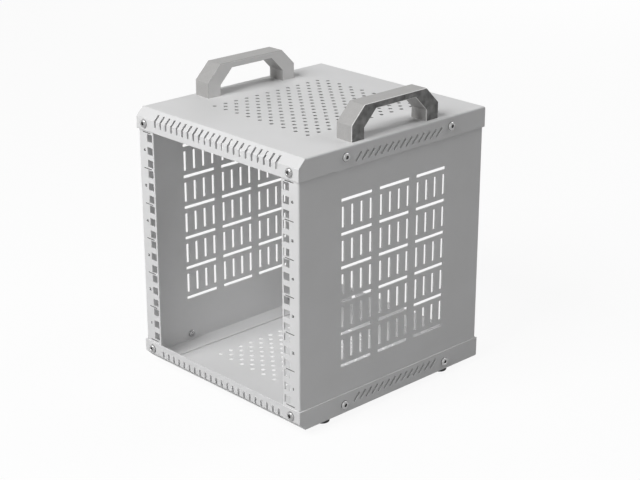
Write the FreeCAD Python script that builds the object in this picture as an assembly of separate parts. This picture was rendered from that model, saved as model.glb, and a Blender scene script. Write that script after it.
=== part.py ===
import FreeCAD, Part
import math
import os

V = FreeCAD.Vector

# Open-frame desktop rack for half-width (10-inch) equipment, six units high.
# Millimetres, +Z up, +Y to the rear. The origin is at the middle of the footprint,
# on the surface that the four feet stand on.

# Rack pattern
UNIT_COUNT = 6
UNIT_PITCH = 44.45
HOLE_FROM_UNIT_LINE = 6.35
RAIL_OPENING = 222.25
RAIL_FACE = 27.275
HOLE_FROM_OPENING = 7.1375
SQUARE_HOLE = 9.5

# Outer shell, over the folded cover and pan
SHELL_DEPTH = 300.0
END_ROOM = 27.65
LIP_HEIGHT = 25.0
FRONT_CHAMFER = 10.0

# Sheet metal
SHEET = 1.5
BEND_FLAT = 1.2
SEAT_GAP = 0.1
CORNER_RELIEF = 1.0
REAR_CORNER_RELIEF = 4.0
REAR_FLANGE = 20.0

# Vents in the side panels: long slots with rows of cross slots between them
VENT_SLOT = 4.0
VENT_COLUMNS = 3
VENT_COLUMN_PITCH = 60.0
VENT_LONG_SLOT = 49.0
VENT_ROWS = 5
VENT_ROW_PITCH = 40.0
CROSS_SLOTS = 4
CROSS_SLOT_PITCH = 14.5
CROSS_SLOT_LENGTH = 25.0

# Punched field in the top cover: staggered holes
PUNCH_DIAMETER = 5.0
PUNCH_COLUMNS = 17
PUNCH_COLUMN_STEP = 10.0
PUNCH_ROWS = 22
PUNCH_ROW_STEP = 8.33
PUNCH_FROM_CHAMFER = 60.0
PUNCH_SIDES = 5

# Slots in the lips of the cover and the pan
LIP_SLOT = 3.0
LIP_SLOT_PITCH = 10.0
FRONT_SLOTS = 22
FRONT_SLOT_NEAR = 3.5
FRONT_SLOT_FAR = 18.0
SIDE_SLOTS = 14
SIDE_SLOT_LENGTH = 13.0
SIDE_SLOT_DEPTH = 15.0
SIDE_SLOT_LEAN = 45.0

# Round holes low in the rear lips
REAR_HOLE_DIAMETER = 9.0
REAR_HOLE_SPACING = 152.0
REAR_HOLE_SIDES = 8

# Handles
HANDLE_LENGTH = 139.0
HANDLE_WIDTH = 24.0
HANDLE_HEIGHT = 39.0
HANDLE_LEG = 19.5
HANDLE_GRIP = 7.5
HANDLE_CORNER = 20.0
HANDLE_INNER_CORNER = 18.5
HANDLE_EDGE = 0.8
HANDLE_INSET = 6.5

# Feet
FOOT_DIAMETER = 20.0
FOOT_HEIGHT = 8.0
FOOT_TAPER = 1.0
FOOT_EDGE = 1.2
FOOT_SIDE_INSET = 16.0
FOOT_END_INSET = 50.0
FOOT_SIDES = 16

# Screws and nuts
SCREW_DIAMETER = 5.0
SCREW_CLEARANCE = 0.5
HEAD_DIAMETER = 10.5
HEAD_HEIGHT = 2.8
HEAD_RIM = 1.0
HEAD_CROWN = 0.62
SCREW_TIP = 1.0
SCREW_SIDES = 6
NUT_DIAMETER = 9.0
NUT_HEIGHT = 3.6
THREAD_GAP = 0.05
FRONT_SCREW_INSET = 14.5
FRONT_SCREW_DEPTH = 16.5
SIDE_SCREW_SPACING = 170.0
SIDE_SCREW_DEPTH = 11.5
HANDLE_SCREW_BITE = 10.0

# Places that follow from the sizes
shell_bottom = FOOT_HEIGHT
shell_top = shell_bottom + UNIT_COUNT * UNIT_PITCH + 2 * END_ROOM
shell_middle = (shell_bottom + shell_top) / 2
unit_base = shell_bottom + END_ROOM
half_depth = SHELL_DEPTH / 2
cover_middle = FRONT_CHAMFER / 2
panel_inset = SHEET + SEAT_GAP
panel_edge = RAIL_OPENING / 2
panel_outside = panel_edge + RAIL_FACE
half_width = panel_outside + panel_inset
rail_hole_x = panel_edge + HOLE_FROM_OPENING
handle_x = half_width - HANDLE_INSET - HANDLE_WIDTH / 2
handle_reach = (HANDLE_LENGTH - HANDLE_LEG) / 2
hole_radius = (SCREW_DIAMETER + SCREW_CLEARANCE) / 2
SIDES = {"left": -1, "right": 1}
ENDS = {"front": -1, "rear": 1}
LEVELS = {"top": 1, "bottom": -1}
SAME = 0.001


def box(x0, x1, y0, y1, z0, z1):
    """A block between two opposite corners, given in any order."""
    low = V(min(x0, x1), min(y0, y1), min(z0, z1))
    return Part.makeBox(abs(x1 - x0), abs(y1 - y0), abs(z1 - z0), low)


def slab(outline, x0, x1):
    """A flat outline in Y and Z, drawn out along X."""
    points = [V(x0, y, z) for y, z in outline]
    face = Part.Face(Part.makePolygon(points + points[:1]))
    return face.extrude(V(x1 - x0, 0, 0))


def turned(rings, sides, bore=False):
    """A turned form about Z with flat sides: (radius, height) rings from end to end."""
    angles = [2 * math.pi * (i + 0.5) / sides for i in range(sides)]
    loops = [[V(r * math.cos(a), r * math.sin(a), h) for a in angles] for r, h in rings]
    pairs = list(zip(loops, loops[1:]))
    faces = []
    if bore:
        pairs.append((loops[-1], loops[0]))
    else:
        faces = [Part.Face(Part.makePolygon(loop + loop[:1])) for loop in (loops[0], loops[-1])]
    for low, high in pairs:
        for i in range(sides):
            j = (i + 1) % sides
            corner = [low[i], low[j], high[j], high[i], low[i]]
            faces.append(Part.Face(Part.makePolygon(corner)))
    solid = Part.Solid(Part.Shell(faces))
    if solid.Volume < 0:
        solid.reverse()
    return solid


def aimed(shape, place, direction):
    """A copy of a form made about +Z, turned to a direction and set in its place."""
    copy = shape.copy()
    copy.Placement = FreeCAD.Placement(place, FreeCAD.Rotation(V(0, 0, 1), direction))
    return copy


def punch(radius, sides, place, direction, depth):
    """A cutter as deep as asked each way, whose flat sides hold the area of a round hole."""
    corner = radius * math.sqrt(2 * math.pi / (sides * math.sin(2 * math.pi / sides)))
    return aimed(turned([(corner, -depth), (corner, depth)], sides), place, direction)


def screw_hole(place, direction):
    """A cutter for a clearance hole through one or two sheets."""
    corner = hole_radius / math.cos(math.pi / SCREW_SIDES)
    depth = 2 * panel_inset
    return aimed(turned([(corner, -depth), (corner, depth)], SCREW_SIDES), place, direction)


def bent(shape, picks):
    """Folded edges: each edge whose middle a pick names gets one narrow flat for its bend."""
    chosen = []
    for edge in shape.Edges:
        middle = edge.valueAt((edge.FirstParameter + edge.LastParameter) / 2)
        if any(pick(middle) for pick in picks):
            chosen.append(edge)
    return shape.makeChamfer(BEND_FLAT, chosen)


def near(a, b):
    return abs(a - b) < SAME


def front_screw_places():
    """Lip screws at the front and the rear, as place and outward direction."""
    places = {}
    for end, out in ENDS.items():
        for level, up in LEVELS.items():
            for side, way in SIDES.items():
                z = shell_middle + up * (shell_top - shell_middle - FRONT_SCREW_DEPTH)
                place = V(way * (half_width - FRONT_SCREW_INSET), out * half_depth, z)
                places[f"{end}_{level}_{side}"] = (place, V(0, out, 0))
    return places


def side_screw_places():
    """Lip screws in the two sides, as place and outward direction."""
    places = {}
    for side, way in SIDES.items():
        for level, up in LEVELS.items():
            for end, out in ENDS.items():
                z = shell_middle + up * (shell_top - shell_middle - SIDE_SCREW_DEPTH)
                place = V(way * half_width, cover_middle + out * SIDE_SCREW_SPACING / 2, z)
                places[f"{side}_{level}_{end}"] = (place, V(way, 0, 0))
    return places


def handle_screw_places():
    """Handle screws, on the underside of the side panels' top flanges."""
    places = {}
    under = shell_top - panel_inset - SHEET
    for side, way in SIDES.items():
        for end, out in ENDS.items():
            place = V(way * handle_x, cover_middle + out * handle_reach, under)
            places[f"{side}_{end}"] = (place, V(0, 0, -1))
    return places


def cover_outline(inset):
    """Side outline (Y, Z) of the folded cover: lip, slanted front edge, top and rear lip."""
    reach = half_depth - inset
    top = shell_top - inset
    cut = FRONT_CHAMFER - inset * (2 - math.sqrt(2))
    low = shell_top - LIP_HEIGHT
    return [(-reach, low), (-reach, top - cut), (-reach + cut, top), (reach, top), (reach, low)]


def folded_cover():
    """The blank of the cover: a tray of one sheet, open below, with all four lips."""
    outer = bent(slab(cover_outline(0), -half_width, half_width), [
        lambda p: near(abs(p.x), half_width) and near(p.z, shell_top),
        lambda p: near(p.y, half_depth) and near(p.z, shell_top)])
    return outer.cut(slab(cover_outline(SHEET), SHEET - half_width, half_width - SHEET))


def front_slot_cutters():
    """Upright slots that run from the front lip up over the slanted edge."""
    first = -LIP_SLOT_PITCH * (FRONT_SLOTS - 1) / 2
    deep = -half_depth + FRONT_CHAMFER
    cutters = []
    for i in range(FRONT_SLOTS):
        x = first + i * LIP_SLOT_PITCH
        cutters.append(box(x - LIP_SLOT / 2, x + LIP_SLOT / 2, -half_depth - SHEET, deep,
                           shell_top - FRONT_SLOT_FAR, shell_top - FRONT_SLOT_NEAR))
    return cutters


def side_slot_cutters(lean):
    """Slots along both side lips, whose tops lean to the rear by an angle in degrees."""
    first = cover_middle - LIP_SLOT_PITCH * (SIDE_SLOTS - 1) / 2
    cutters = []
    for way in SIDES.values():
        x_in = way * (half_width - SHEET - SEAT_GAP / 2)
        for i in range(SIDE_SLOTS):
            slot = box(x_in, way * (half_width + SHEET), -LIP_SLOT / 2, LIP_SLOT / 2,
                       -SIDE_SLOT_LENGTH / 2, SIDE_SLOT_LENGTH / 2)
            slot.rotate(V(0, 0, 0), V(1, 0, 0), -lean)
            slot.translate(V(0, first + i * LIP_SLOT_PITCH, shell_top - SIDE_SLOT_DEPTH))
            cutters.append(slot)
    return cutters


def rear_hole_cutters():
    """Two round holes half way up the rear lip."""
    z = shell_top - LIP_HEIGHT / 2
    return [punch(REAR_HOLE_DIAMETER / 2, REAR_HOLE_SIDES, V(way * REAR_HOLE_SPACING / 2, half_depth, z),
                  V(0, 1, 0), 2 * SHEET) for way in SIDES.values()]


def punched_field_cutters():
    """The staggered field of small holes in the flat of the cover."""
    first_x = -PUNCH_COLUMN_STEP * (PUNCH_COLUMNS - 1) / 2
    first_y = -half_depth + FRONT_CHAMFER + PUNCH_FROM_CHAMFER
    cutters = []
    for column in range(PUNCH_COLUMNS):
        for row in range(column % 2, PUNCH_ROWS, 2):
            place = V(first_x + column * PUNCH_COLUMN_STEP, first_y + row * PUNCH_ROW_STEP, shell_top)
            cutters.append(punch(PUNCH_DIAMETER / 2, PUNCH_SIDES, place, V(0, 0, 1), 2 * SHEET))
    return cutters


def lip_screw_cutters():
    """Clearance holes for the lip screws at the level of the top cover."""
    places = list(front_screw_places().values()) + list(side_screw_places().values())
    return [screw_hole(place, way) for place, way in places if place.z > shell_middle]


def top_cover():
    cutters = front_slot_cutters() + side_slot_cutters(SIDE_SLOT_LEAN) + rear_hole_cutters()
    cutters += lip_screw_cutters() + punched_field_cutters()
    cutters += [screw_hole(place, way) for place, way in handle_screw_places().values()]
    return folded_cover().cut(Part.makeCompound(cutters))


def bottom_pan():
    """The cover's tray turned upside down, with side slots that lean the same way once turned."""
    cutters = front_slot_cutters() + side_slot_cutters(-SIDE_SLOT_LEAN) + rear_hole_cutters()
    cutters += lip_screw_cutters()
    pan = folded_cover().cut(Part.makeCompound(cutters))
    return pan.mirror(V(0, 0, shell_middle), V(0, 0, 1))


def panel_outline(inset):
    """Side outline (Y, Z) of a side panel, with both front corners cut like the cover's."""
    reach = half_depth - inset
    top = shell_top - inset
    low = shell_bottom + inset
    cut = FRONT_CHAMFER - inset * (2 - math.sqrt(2))
    return [(-reach, low + cut), (-reach, top - cut), (-reach + cut, top),
            (reach, top), (reach, low), (-reach + cut, low)]


def folded_panel():
    """The right panel's blank: web, front rail, top, bottom and rear flanges of one sheet."""
    web_inside = panel_outside - SHEET
    reach = half_depth - panel_inset
    high = shell_top - panel_inset
    low = shell_bottom + panel_inset
    outer = bent(slab(panel_outline(panel_inset), panel_edge, panel_outside), [
        lambda p: near(p.x, panel_outside) and near(abs(p.y), reach),
        lambda p: near(p.x, panel_outside) and (near(p.z, high) or near(p.z, low))])
    panel = outer.cut(slab(panel_outline(panel_inset + SHEET), panel_edge - SHEET, web_inside))
    notch = FRONT_CHAMFER + CORNER_RELIEF - panel_inset * (2 - math.sqrt(2))
    past = panel_edge - SHEET
    cutters = [box(past, panel_outside - REAR_FLANGE, reach - SHEET, reach + SHEET, low + SHEET, high - SHEET)]
    for z, inward in ((high, -1), (low, 1)):
        cutters.append(box(past, web_inside, -reach, -reach + notch, z, z + inward * notch))
        cutters.append(box(past, web_inside, reach - REAR_CORNER_RELIEF, reach,
                           z, z + inward * REAR_CORNER_RELIEF))
    return panel.cut(Part.makeCompound(cutters))


def square_hole_cutters():
    """Three square holes to a unit, up the rail."""
    half = SQUARE_HOLE / 2
    cutters = []
    for unit in range(UNIT_COUNT):
        for offset in (HOLE_FROM_UNIT_LINE, UNIT_PITCH / 2, UNIT_PITCH - HOLE_FROM_UNIT_LINE):
            z = unit_base + unit * UNIT_PITCH + offset
            cutters.append(box(rail_hole_x - half, rail_hole_x + half, -half_depth,
                               -half_depth + 2 * panel_inset, z - half, z + half))
    return cutters


def vent_cutters():
    """Columns of long slots, with upright cross slots between each two."""
    x0 = panel_outside - 2 * SHEET
    x1 = panel_outside + SHEET
    half = VENT_SLOT / 2
    cutters = []
    for column in range(VENT_COLUMNS):
        y = (column - (VENT_COLUMNS - 1) / 2) * VENT_COLUMN_PITCH
        for row in range(VENT_ROWS + 1):
            z = shell_middle + (row - VENT_ROWS / 2) * VENT_ROW_PITCH
            cutters.append(box(x0, x1, y - VENT_LONG_SLOT / 2, y + VENT_LONG_SLOT / 2, z - half, z + half))
            if row < VENT_ROWS:
                for cross in range(CROSS_SLOTS):
                    yc = y + (cross - (CROSS_SLOTS - 1) / 2) * CROSS_SLOT_PITCH
                    zc = z + VENT_ROW_PITCH / 2
                    cutters.append(box(x0, x1, yc - half, yc + half,
                                       zc - CROSS_SLOT_LENGTH / 2, zc + CROSS_SLOT_LENGTH / 2))
    return cutters


def side_panel(side):
    """A side panel: the right one as folded, the left one its mirror image."""
    places = list(front_screw_places().values()) + list(side_screw_places().values())
    places += list(handle_screw_places().values())
    cutters = square_hole_cutters() + vent_cutters()
    cutters += [screw_hole(place, way) for place, way in places if place.x > 0]
    panel = folded_panel().cut(Part.makeCompound(cutters))
    if side == "left":
        panel = panel.mirror(V(0, 0, 0), V(1, 0, 0))
    return panel


def handle(side):
    """A solid bar handle: two legs, slanted shoulders and a flat grip, all edges broken."""
    half = HANDLE_LENGTH / 2
    inner = half - HANDLE_LEG
    under = HANDLE_HEIGHT - HANDLE_GRIP
    right = [(half, 0), (half, HANDLE_HEIGHT - HANDLE_CORNER), (half - HANDLE_CORNER, HANDLE_HEIGHT)]
    gap = [(inner - HANDLE_INNER_CORNER, under), (inner, under - HANDLE_INNER_CORNER), (inner, 0)]
    outline = [(-y, z) for y, z in right] + right[::-1] + gap[::-1] + [(-y, z) for y, z in gap]
    outline = [(cover_middle + y, shell_top + z) for y, z in outline]
    centre = SIDES[side] * handle_x
    bar = slab(outline, centre - HANDLE_WIDTH / 2, centre + HANDLE_WIDTH / 2)
    edges = [e for e in bar.Edges if not near(e.BoundBox.ZMax, shell_top)]
    bar = bar.makeChamfer(HANDLE_EDGE, edges)
    depth = HANDLE_SCREW_BITE + SCREW_TIP
    corner = (SCREW_DIAMETER / 2 + THREAD_GAP) / math.cos(math.pi / SCREW_SIDES)
    hole = turned([(corner, -SHEET), (corner, depth)], SCREW_SIDES)
    holes = [aimed(hole, V(place.x, place.y, shell_top), V(0, 0, 1))
             for name, (place, way) in handle_screw_places().items() if name.startswith(side)]
    return bar.cut(Part.makeCompound(holes))


def foot(side, end):
    """A rubber foot, stuck under the pan, a little wider at the top."""
    top = FOOT_DIAMETER / 2
    low = top - FOOT_TAPER
    rings = [(low - FOOT_EDGE, 0), (low, FOOT_EDGE), (top, FOOT_HEIGHT)]
    place = V(SIDES[side] * (half_width - FOOT_SIDE_INSET), ENDS[end] * (half_depth - FOOT_END_INSET), 0)
    return aimed(turned(rings, FOOT_SIDES), place, V(0, 0, 1))


def screw(length):
    """A pan head screw about +Z: the shank points down, the head stands on the seat."""
    head = HEAD_DIAMETER / 2
    shank = SCREW_DIAMETER / 2
    rings = [(shank, -length), (shank, 0), (head, 0), (head, HEAD_RIM), (head * HEAD_CROWN, HEAD_HEIGHT)]
    return turned(rings, SCREW_SIDES)


def lip_screw(place, way):
    """A screw through a lip and the panel behind it, into a nut."""
    return aimed(screw(panel_inset + SHEET + NUT_HEIGHT + SCREW_TIP), place, way)


def press_nut(place, way):
    """A round press nut on the inner face of the panel."""
    outer = NUT_DIAMETER / 2
    bore = (SCREW_DIAMETER / 2 + THREAD_GAP) / math.cos(math.pi / SCREW_SIDES)
    seat = -(panel_inset + SHEET)
    rings = [(outer, seat), (bore, seat), (bore, seat - NUT_HEIGHT), (outer, seat - NUT_HEIGHT)]
    return aimed(turned(rings, SCREW_SIDES, bore=True), place, way)


def build():
    parts = {"top_cover": top_cover(), "bottom_pan": bottom_pan()}
    for side in SIDES:
        parts[f"{side}_side_panel"] = side_panel(side)
        parts[f"{side}_handle"] = handle(side)
        for end in ENDS:
            parts[f"foot_{end}_{side}"] = foot(side, end)
    for name, (place, way) in {**front_screw_places(), **side_screw_places()}.items():
        parts[f"lip_screw_{name}"] = lip_screw(place, way)
        parts[f"press_nut_{name}"] = press_nut(place, way)
    for name, (place, way) in handle_screw_places().items():
        parts[f"handle_screw_{name}"] = aimed(screw(panel_inset + SHEET + HANDLE_SCREW_BITE), place, way)
    return parts


def main():
    os.makedirs("parts", exist_ok=True)
    for name, shape in build().items():
        shape.exportStep(f"parts/{name}.step")
        print(name, len(shape.Solids), round(shape.Volume))


main()
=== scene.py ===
# %% [markdown]
# An open desktop rack for half-width equipment, dressed for a product photograph.
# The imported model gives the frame: every piece made here is placed by the corners of
# the parts that it belongs to, in metres, so nothing has to be fitted afterwards.

# %% Load the frame
import math

import bmesh
import bpy
from mathutils import Matrix, Vector


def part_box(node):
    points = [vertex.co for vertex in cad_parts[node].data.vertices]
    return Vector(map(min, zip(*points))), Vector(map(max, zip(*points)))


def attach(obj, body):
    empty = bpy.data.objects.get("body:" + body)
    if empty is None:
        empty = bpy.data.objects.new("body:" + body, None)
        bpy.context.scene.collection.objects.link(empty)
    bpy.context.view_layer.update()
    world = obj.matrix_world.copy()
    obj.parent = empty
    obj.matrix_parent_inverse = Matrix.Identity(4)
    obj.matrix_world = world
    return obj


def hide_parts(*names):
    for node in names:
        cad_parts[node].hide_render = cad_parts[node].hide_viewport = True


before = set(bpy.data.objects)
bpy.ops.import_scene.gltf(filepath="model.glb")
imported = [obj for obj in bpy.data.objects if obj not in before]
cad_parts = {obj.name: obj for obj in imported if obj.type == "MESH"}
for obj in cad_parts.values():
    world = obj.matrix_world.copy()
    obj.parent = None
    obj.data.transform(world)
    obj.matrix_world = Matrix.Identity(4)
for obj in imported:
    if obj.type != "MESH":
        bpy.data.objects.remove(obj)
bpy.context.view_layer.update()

MM = 0.001
scene = bpy.context.scene
print("nodes in the frame:", len(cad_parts))

# %% Sizes that the frame gives
cover_low, cover_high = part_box("top_cover")
panel_low, panel_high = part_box("right_side_panel")
handle_low, handle_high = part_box("right_handle")
half_width = cover_high.x
half_depth = cover_high.y
shell_top = cover_high.z
shell_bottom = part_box("bottom_pan")[0].z
shell_middle = (shell_top + shell_bottom) / 2
half_height = (shell_top - shell_bottom) / 2
lip_height = cover_high.z - cover_low.z
print("shell:", round(2 * half_width, 4), round(2 * half_depth, 4), round(2 * half_height, 4))

# %% [markdown]
# The camera stands where the photographer stood: about two metres away, a little above
# the rack and off its front right corner. A long lens keeps the upright edges nearly
# parallel. Its place follows from two angles and a distance, which is easier to read
# and to change than three coordinates and a rotation.

# %% Camera
CAMERA_AZIMUTH = math.radians(46.394)
CAMERA_HEIGHT_ANGLE = math.radians(20.85)
CAMERA_DISTANCE = 1.92485
CAMERA_TARGET = Vector((0.00885, 0.00634, 0.16341))
FOCAL_PIXELS = 1591.08
PHOTO_WIDTH_PIXELS = 640
SENSOR = 36.0

level = math.cos(CAMERA_HEIGHT_ANGLE)
towards_camera = Vector((math.sin(CAMERA_AZIMUTH) * level,
                         -math.cos(CAMERA_AZIMUTH) * level,
                         math.sin(CAMERA_HEIGHT_ANGLE)))
camera_data = bpy.data.cameras.new("camera")
camera_data.sensor_width = SENSOR
camera_data.lens = SENSOR * FOCAL_PIXELS / PHOTO_WIDTH_PIXELS
camera = bpy.data.objects.new("camera", camera_data)
camera.location = CAMERA_TARGET + CAMERA_DISTANCE * towards_camera
camera.rotation_euler = (-towards_camera).to_track_quat("-Z", "Y").to_euler()
scene.collection.objects.link(camera)
scene.camera = camera
print("camera at", [round(v, 3) for v in camera.location], "lens", round(camera_data.lens, 1))

# %% [markdown]
# Most surfaces here are metal with a fine finish: the sheets are blasted and coated in
# silver, and the handles are drawn bar with faint streaks. One shader group makes the
# unevenness that they share. It takes the size of the grain and of the broad clouds, and
# gives back a grain for the bump and a tone for the colour, so each material only chooses
# its own numbers. A picture of metal would do the same, but it would blur up close, while
# noise stays sharp at any distance.

# %% A shader group for uneven metal
GROUP_IN = "NodeGroupInput"
GROUP_OUT = "NodeGroupOutput"


def add_node(tree, kind, **settings):
    """One node, with its properties set by name."""
    node = tree.nodes.new(kind)
    for name, value in settings.items():
        setattr(node, name, value)
    return node


def sockets(tree, direction, *rows):
    """Named sockets on a group's edge from (name, kind, default), with their identifiers."""
    names = {}
    for name, kind, default in rows:
        made = tree.interface.new_socket(name, in_out=direction, socket_type="NodeSocket" + kind)
        if default is not None:
            made.default_value = default
        names[name] = made.identifier
    return names


def feed(tree, value, slot):
    """An input socket linked to another socket, or set to a plain value."""
    if isinstance(value, bpy.types.NodeSocket):
        tree.links.new(value, slot)
    else:
        slot.default_value = value


def number_math(tree, operation, a, b=0.0):
    """Arithmetic on two values, each a socket or a plain number."""
    node = add_node(tree, "ShaderNodeMath", operation=operation)
    feed(tree, a, node.inputs[0])
    feed(tree, b, node.inputs[1])
    return node.outputs[0]


def vector_math(tree, operation, a, b):
    """A sum or product of two vectors, or a vector scaled by a number."""
    node = add_node(tree, "ShaderNodeVectorMath", operation=operation)
    feed(tree, a, node.inputs[0])
    feed(tree, b, node.inputs["Scale" if operation == "SCALE" else 1])
    return node.outputs["Value" if operation == "DOT_PRODUCT" else "Vector"]


def mixed(tree, mask, kind, base, other):
    """A value or colour where the mask is nought, and another where it is one."""
    mix = add_node(tree, "ShaderNodeMix", data_type=kind)
    first, second, result = (6, 7, 2) if kind == "RGBA" else (2, 3, 0)
    for value, slot in ((mask, 0), (base, first), (other, second)):
        feed(tree, value, mix.inputs[slot])
    return mix.outputs[result]


def noise(tree, source, scale, detail):
    """A noise texture on given coordinates."""
    texture = add_node(tree, "ShaderNodeTexNoise")
    for name, value in (("Vector", source), ("Scale", scale), ("Detail", detail)):
        feed(tree, value, texture.inputs[name])
    return texture.outputs["Fac"]


def object_place(tree):
    """Coordinates that stay with the piece."""
    return add_node(tree, "ShaderNodeTexCoord").outputs["Object"]


def uneven_metal_group():
    """Grain and tone from two noises, stretched along one axis for a drawn metal."""
    group = bpy.data.node_groups.new("Uneven metal", "ShaderNodeTree")
    sockets(group, "INPUT", ("Grain Scale", "Float", 1500.0), ("Cloud Scale", "Float", 12.0),
            ("Stretch", "Vector", (1.0, 1.0, 1.0)), ("Cloud Share", "Float", 0.6))
    sockets(group, "OUTPUT", ("Grain", "Float", None), ("Tone", "Float", None))
    given = add_node(group, GROUP_IN).outputs
    out = add_node(group, GROUP_OUT).inputs
    place = object_place(group)
    stretched = vector_math(group, "MULTIPLY", place, given["Stretch"])
    grain = noise(group, stretched, given["Grain Scale"], 2.0)
    cloud = noise(group, place, given["Cloud Scale"], 3.0)
    group.links.new(grain, out["Grain"])
    group.links.new(mixed(group, given["Cloud Share"], "FLOAT", grain, cloud), out["Tone"])
    return group


uneven_metal = uneven_metal_group()
print("group", uneven_metal.name, "with", len(uneven_metal.nodes), "nodes")

# %% [markdown]
# Each metal is one Principled shader. Colour and roughness follow the group's tone
# between two close values, because a real coating is never quite even, and the grain
# drives a very shallow bump. Numbers that are the same all over sit on the shader itself.

# %% Metals
TONE_LOW = 0.3
TONE_HIGH = 0.7
BUMP_DEPTH = 0.05 * MM


def ramp(tree, value, low, high):
    """A value between 0 and 1 turned into a colour between two colours."""
    colours = add_node(tree, "ShaderNodeValToRGB")
    for stop, position, colour in zip(colours.color_ramp.elements, (TONE_LOW, TONE_HIGH), (low, high)):
        stop.position = position
        stop.color = (*colour, 1.0)
    tree.links.new(value, colours.inputs["Fac"])
    return colours.outputs["Color"]


def spread(tree, value, low, high, start=0.0, end=1.0):
    """A value between start and end mapped between two numbers."""
    mapped = add_node(tree, "ShaderNodeMapRange")
    for slot, given in zip(mapped.inputs, (value, start, end, low, high)):
        feed(tree, given, slot)
    return mapped.outputs["Result"]


def new_material(name):
    """A material, its tree and its shader."""
    material = bpy.data.materials.new(name)
    material.use_nodes = True
    return material, material.node_tree, material.node_tree.nodes["Principled BSDF"]


def grey(level):
    return (level, level, level)


def metal(name, colours, rough, metallic, grain, cloud, share, bump, shine=0.5, stretch=(1.0, 1.0, 1.0)):
    """A material with the group's tone in its colour and roughness and its grain in the bump."""
    material, tree, shader = new_material(name)
    shader.inputs["Metallic"].default_value = metallic
    shader.inputs["Specular IOR Level"].default_value = shine
    effect = add_node(tree, "ShaderNodeGroup", node_tree=uneven_metal)
    for socket, value in (("Grain Scale", grain), ("Cloud Scale", cloud), ("Stretch", stretch),
                          ("Cloud Share", share)):
        effect.inputs[socket].default_value = value
    tone = effect.outputs["Tone"]
    tree.links.new(ramp(tree, tone, *colours), shader.inputs["Base Color"])
    tree.links.new(spread(tree, tone, *rough, TONE_LOW, TONE_HIGH), shader.inputs["Roughness"])
    relief = add_node(tree, "ShaderNodeBump")
    relief.inputs["Strength"].default_value = bump
    relief.inputs["Distance"].default_value = BUMP_DEPTH
    tree.links.new(effect.outputs["Grain"], relief.inputs["Height"])
    tree.links.new(relief.outputs["Normal"], shader.inputs["Normal"])
    return material


ALONG_HANDLE = (1.0, 0.06, 1.0)
sheet_metal = metal("silver coated sheet", (grey(0.68), (0.72, 0.72, 0.725)), rough=(0.46, 0.54),
                    metallic=0.0, grain=1800.0, cloud=14.0, share=0.75, bump=0.25, shine=0.15)
handle_metal = metal("drawn handle bar", ((0.36, 0.355, 0.35), (0.42, 0.415, 0.41)), rough=(0.40, 0.48),
                     metallic=0.1, grain=700.0, cloud=60.0, share=0.4, bump=0.15, shine=0.2,
                     stretch=ALONG_HANDLE)
screw_metal = metal("nickel screw", (grey(0.32), grey(0.42)), rough=(0.16, 0.24),
                    metallic=1.0, grain=2500.0, cloud=300.0, share=0.5, bump=0.15)
nut_metal = metal("zinc nut", ((0.50, 0.50, 0.51), grey(0.60)), rough=(0.30, 0.42),
                  metallic=1.0, grain=2500.0, cloud=300.0, share=0.5, bump=0.25)
print("metals:", sheet_metal.name, handle_metal.name, screw_metal.name, nut_metal.name)

# %% [markdown]
# Some finishes, and some painted light and shade, depend on where a face lies. The punched
# holes are cut after the coating, so their walls are bare metal; the cover's are painted
# darker as painted shade, and the pan's are painted near white as a painted reflection of the
# white desk. The panels' outer faces get painted shade under the lips, which shows as a
# darker ground in the side slots. The handles' outer faces get mottled painted shade, with a
# painted highlight along the outer edge, while the inner faces get painted light. One group
# works out a mask for all that lies between two distances from a middle plane. The key
# sockets of the screws lie all over the rack, so no plane finds them: there the mesh itself
# carries the mask for their painted shade.

# %% Finishes and painted light and shade that depend on the place


def layer_mask_group():
    """One where a coordinate lies between two distances from a middle plane, nought elsewhere."""
    group = bpy.data.node_groups.new("Layer mask", "ShaderNodeTree")
    sockets(group, "INPUT", ("Along", "Vector", (0.0, 0.0, 1.0)), ("Middle", "Float", 0.0),
            ("Nearest", "Float", 0.1), ("Farthest", "Float", 1.0))
    sockets(group, "OUTPUT", ("Mask", "Float", None))
    given = add_node(group, GROUP_IN).outputs
    along = vector_math(group, "DOT_PRODUCT", object_place(group), given["Along"])
    distance = number_math(group, "ABSOLUTE", number_math(group, "SUBTRACT", along, given["Middle"]))
    past = number_math(group, "GREATER_THAN", distance, given["Nearest"])
    before = number_math(group, "LESS_THAN", distance, given["Farthest"])
    mask = number_math(group, "MULTIPLY", past, before)
    group.links.new(mask, add_node(group, GROUP_OUT).inputs["Mask"])
    return group


layer_mask = layer_mask_group()
SIDEWAYS = (1.0, 0.0, 0.0)
BACKWARDS = (0.0, 1.0, 0.0)
UPWARDS = (0.0, 0.0, 1.0)
NO_LIMIT = -1.0
FAR = 1.0


def layer(tree, along, middle, nearest, farthest):
    """The mask of one layer in a material's tree."""
    effect = add_node(tree, "ShaderNodeGroup", node_tree=layer_mask)
    settings = {"Along": along, "Middle": middle, "Nearest": nearest, "Farthest": farthest}
    for name, value in settings.items():
        effect.inputs[name].default_value = value
    return effect.outputs["Mask"]


def painted(material, mask, other):
    """The material's colour, with another colour wherever the mask is one."""
    tree = material.node_tree
    colour = tree.nodes["Principled BSDF"].inputs["Base Color"]
    feed(tree, mixed(tree, mask, "RGBA", colour.links[0].from_socket, other), colour)


SKIN = 0.05 * MM
WALL_DEPTH = 1.45 * MM
FIELD_FROM_SIDES = 30.0 * MM
FIELD_FROM_ENDS = 20.0 * MM
PAN_LAYER = 2.0 * MM
WALL_ROUGHNESS = 0.3
# Painted shade: the cover's bare hole walls are drawn darker than their lighting makes them.
BARE_WALL_PAINTED_SHADE = (*grey(0.42), 1.0)
# Painted reflection: the pan's hole walls are drawn near white, as if they mirrored the white desk.
PAINTED_DESK_REFLECTION = (*grey(0.96), 1.0)


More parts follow.
